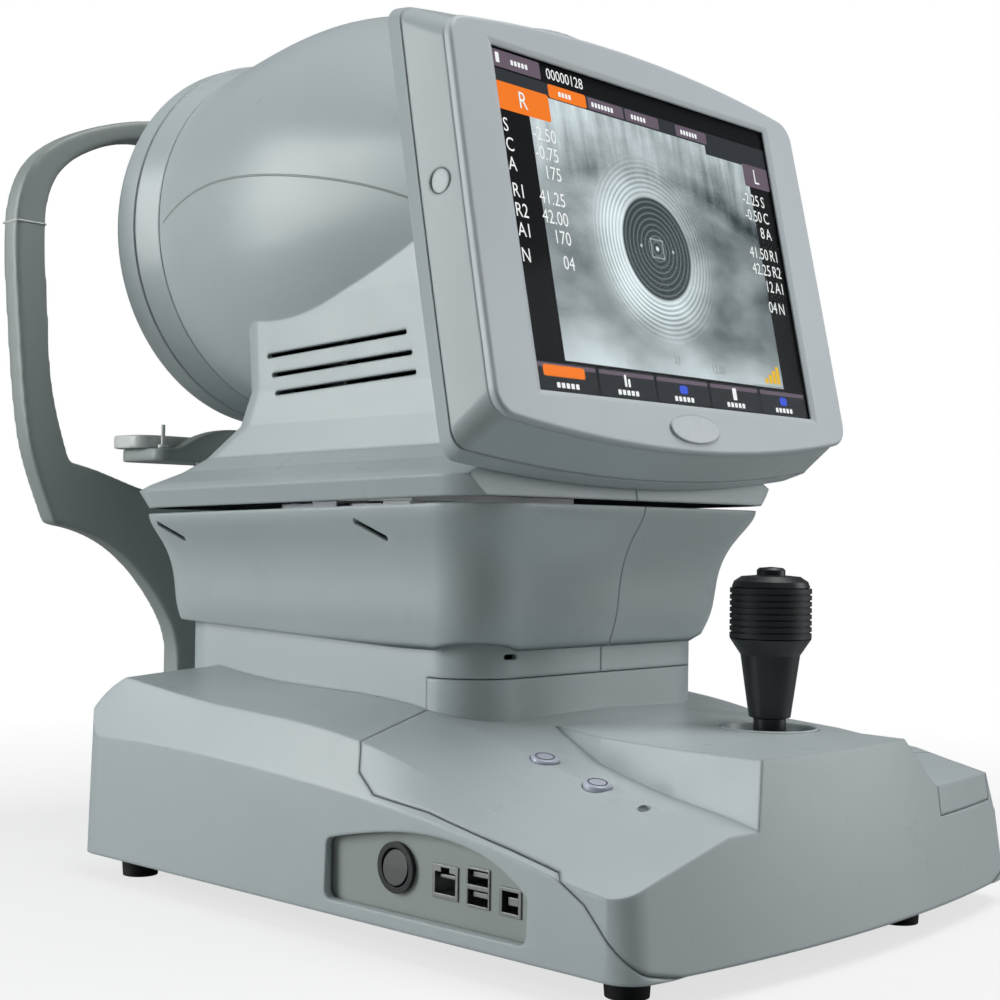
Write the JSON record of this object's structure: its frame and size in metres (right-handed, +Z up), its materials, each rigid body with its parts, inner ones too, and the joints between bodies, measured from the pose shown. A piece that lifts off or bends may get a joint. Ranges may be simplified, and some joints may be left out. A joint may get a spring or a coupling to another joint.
{
  "type": "autorefractor",
  "caption": "Table-top eye refraction instrument: tilted touch-screen head on a powered alignment stage, joystick base and patient face rest with chin rest.",
  "frame": {"origin": "on the table under the middle of the bounding box, below the instrument's left-right mirror plane", "axes": "+X to the operator's right, +Y from the operator to the patient, +Z up"},
  "size_m": [0.3062, 0.5039, 0.467],
  "materials": {
    "cover_plastic": "satin, fine moulded texture",
    "bezel_plastic": "satin",
    "badge_plastic": "satin metallic",
    "panel_plastic": "fine grain",
    "frame_plastic": "satin",
    "chin_plastic": "smooth",
    "pad_rubber": "soft silicone",
    "foot_rubber": "matt",
    "grip_rubber": "matt",
    "black_plastic": "satin",
    "button_plastic": "pearl",
    "led_lens": "clear lens",
    "jack_metal": "plated shields",
    "circuit_board": "solder mask",
    "ground_steel": "ground",
    "sheet_steel": "zinc plated",
    "machined_aluminium": "machined",
    "motor_black": "satin",
    "lens_glass": "coated",
    "screen_glass": "clear",
    "display": "lit screen",
    "paper": "thermal paper"
  },
  "bodies": {
    "base": {"base_pan": "sheet_steel", "case_screws": "ground_steel", "rubber_feet": "foot_rubber", "rear_cover": "cover_plastic", "front_cover": "cover_plastic", "neck_cover_left": "cover_plastic", "neck_cover_right": "cover_plastic", "port_panel": "panel_plastic", "power_switch_body": "black_plastic", "data_jacks": "jack_metal", "power_inlet": "black_plastic", "main_board": "circuit_board", "power_supply": "sheet_steel", "lift_columns": "ground_steel", "lift_motor": "motor_black", "joystick_socket": "cover_plastic", "status_led": "led_lens", "printer_frame": "sheet_steel", "face_frame": "frame_plastic", "forehead_pad": "pad_rubber", "chinrest_column": "frame_plastic"},
    "lift": {"lift_plate": "machined_aluminium", "lift_screw": "ground_steel", "skirt_left": "cover_plastic", "skirt_right": "cover_plastic", "y_rails": "ground_steel"},
    "carriage": {"y_carriage": "machined_aluminium"},
    "head": {"x_rails": "ground_steel", "head_base_plate": "machined_aluminium", "head_cover_left": "cover_plastic", "head_cover_right": "cover_plastic", "front_ring": "cover_plastic", "placido_dish": "black_plastic", "optical_bench": "machined_aluminium", "objective_barrel": "black_plastic", "objective_lens": "lens_glass", "camera_module": "black_plastic", "monitor_bezel": "bezel_plastic", "monitor_side_frame": "cover_plastic", "monitor_back_shell": "cover_plastic", "screw_plugs": "cover_plastic", "badge": "badge_plastic", "touch_glass": "screen_glass", "lcd_panel": "display"},
    "focus": {"focus_carriage": "machined_aluminium", "focus_lens": "lens_glass"},
    "gimbal": {"gimbal_ring": "black_plastic"},
    "stick": {"joystick_stick": "black_plastic"},
    "grip": {"joystick_grip": "grip_rubber"},
    "trigger": {"measure_button": "black_plastic"},
    "chin_up": {"chin_button_up": "button_plastic"},
    "chin_down": {"chin_button_down": "button_plastic"},
    "rocker": {"power_rocker": "black_plastic"},
    "lid": {"printer_cover": "cover_plastic"},
    "platen": {"platen_roller": "grip_rubber"},
    "roll": {"paper_roll": "paper"},
    "chin": {"chinrest_stem": "ground_steel", "chinrest_arm": "frame_plastic", "chinrest_cup": "chin_plastic", "paper_pins": "chin_plastic"}
  },
  "joints": [
    {"name": "lift_slide", "type": "slide", "parent": "base", "child": "lift", "axis": [0, 0, 1], "range_m": [-0.012, 0.018]},
    {"name": "depth_slide", "type": "slide", "parent": "lift", "child": "carriage", "axis": [0, 1, 0], "range_m": [-0.018, 0.018]},
    {"name": "side_slide", "type": "slide", "parent": "carriage", "child": "head", "axis": [1, 0, 0], "range_m": [-0.04, 0.04]},
    {"name": "focus_slide", "type": "slide", "parent": "head", "child": "focus", "axis": [0, 1, 0], "range_m": [-0.035, 0.035]},
    {"name": "stick_side_tilt", "type": "hinge", "parent": "gimbal", "child": "stick", "pos_m": [0.027, -0.177, 0.07], "axis": [0, 1, 0], "range_deg": [-10, 10]},
    {"name": "stick_depth_tilt", "type": "hinge", "parent": "base", "child": "gimbal", "pos_m": [0.027, -0.177, 0.07], "axis": [1, 0, 0], "range_deg": [-10, 10]},
    {"name": "grip_turn", "type": "hinge", "parent": "stick", "child": "grip", "pos_m": [0.027, -0.177, 0.145], "axis": [0, 0, 1], "continuous": true},
    {"name": "measure_press", "type": "slide", "parent": "stick", "child": "trigger", "axis": [0, 0, 1], "range_m": [-0.002, 0]},
    {"name": "chin_up_press", "type": "slide", "parent": "base", "child": "chin_up", "axis": [-0.0974, -0.2045, 0.974], "range_m": [-0.0012, 0]},
    {"name": "chin_down_press", "type": "slide", "parent": "base", "child": "chin_down", "axis": [-0.0974, -0.2045, 0.974], "range_m": [-0.0012, 0]},
    {"name": "power_rock", "type": "hinge", "parent": "base", "child": "rocker", "pos_m": [-0.147, -0.106, 0.0375], "axis": [0, 1, 0], "range_deg": [0, 8]},
    {"name": "printer_lid_hinge", "type": "hinge", "parent": "base", "child": "lid", "pos_m": [0.102, -0.2442, 0.052], "axis": [1, 0, 0], "range_deg": [0, 75]},
    {"name": "platen_turn", "type": "hinge", "parent": "base", "child": "platen", "pos_m": [0.102, -0.21, 0.044], "axis": [1, 0, 0], "continuous": true},
    {"name": "paper_roll_turn", "type": "hinge", "parent": "base", "child": "roll", "pos_m": [0.102, -0.184, 0.033], "axis": [1, 0, 0], "continuous": true},
    {"name": "chinrest_slide", "type": "slide", "parent": "base", "child": "chin", "axis": [0, 0, 1], "range_m": [-0.015, 0.045]}
  ]
}
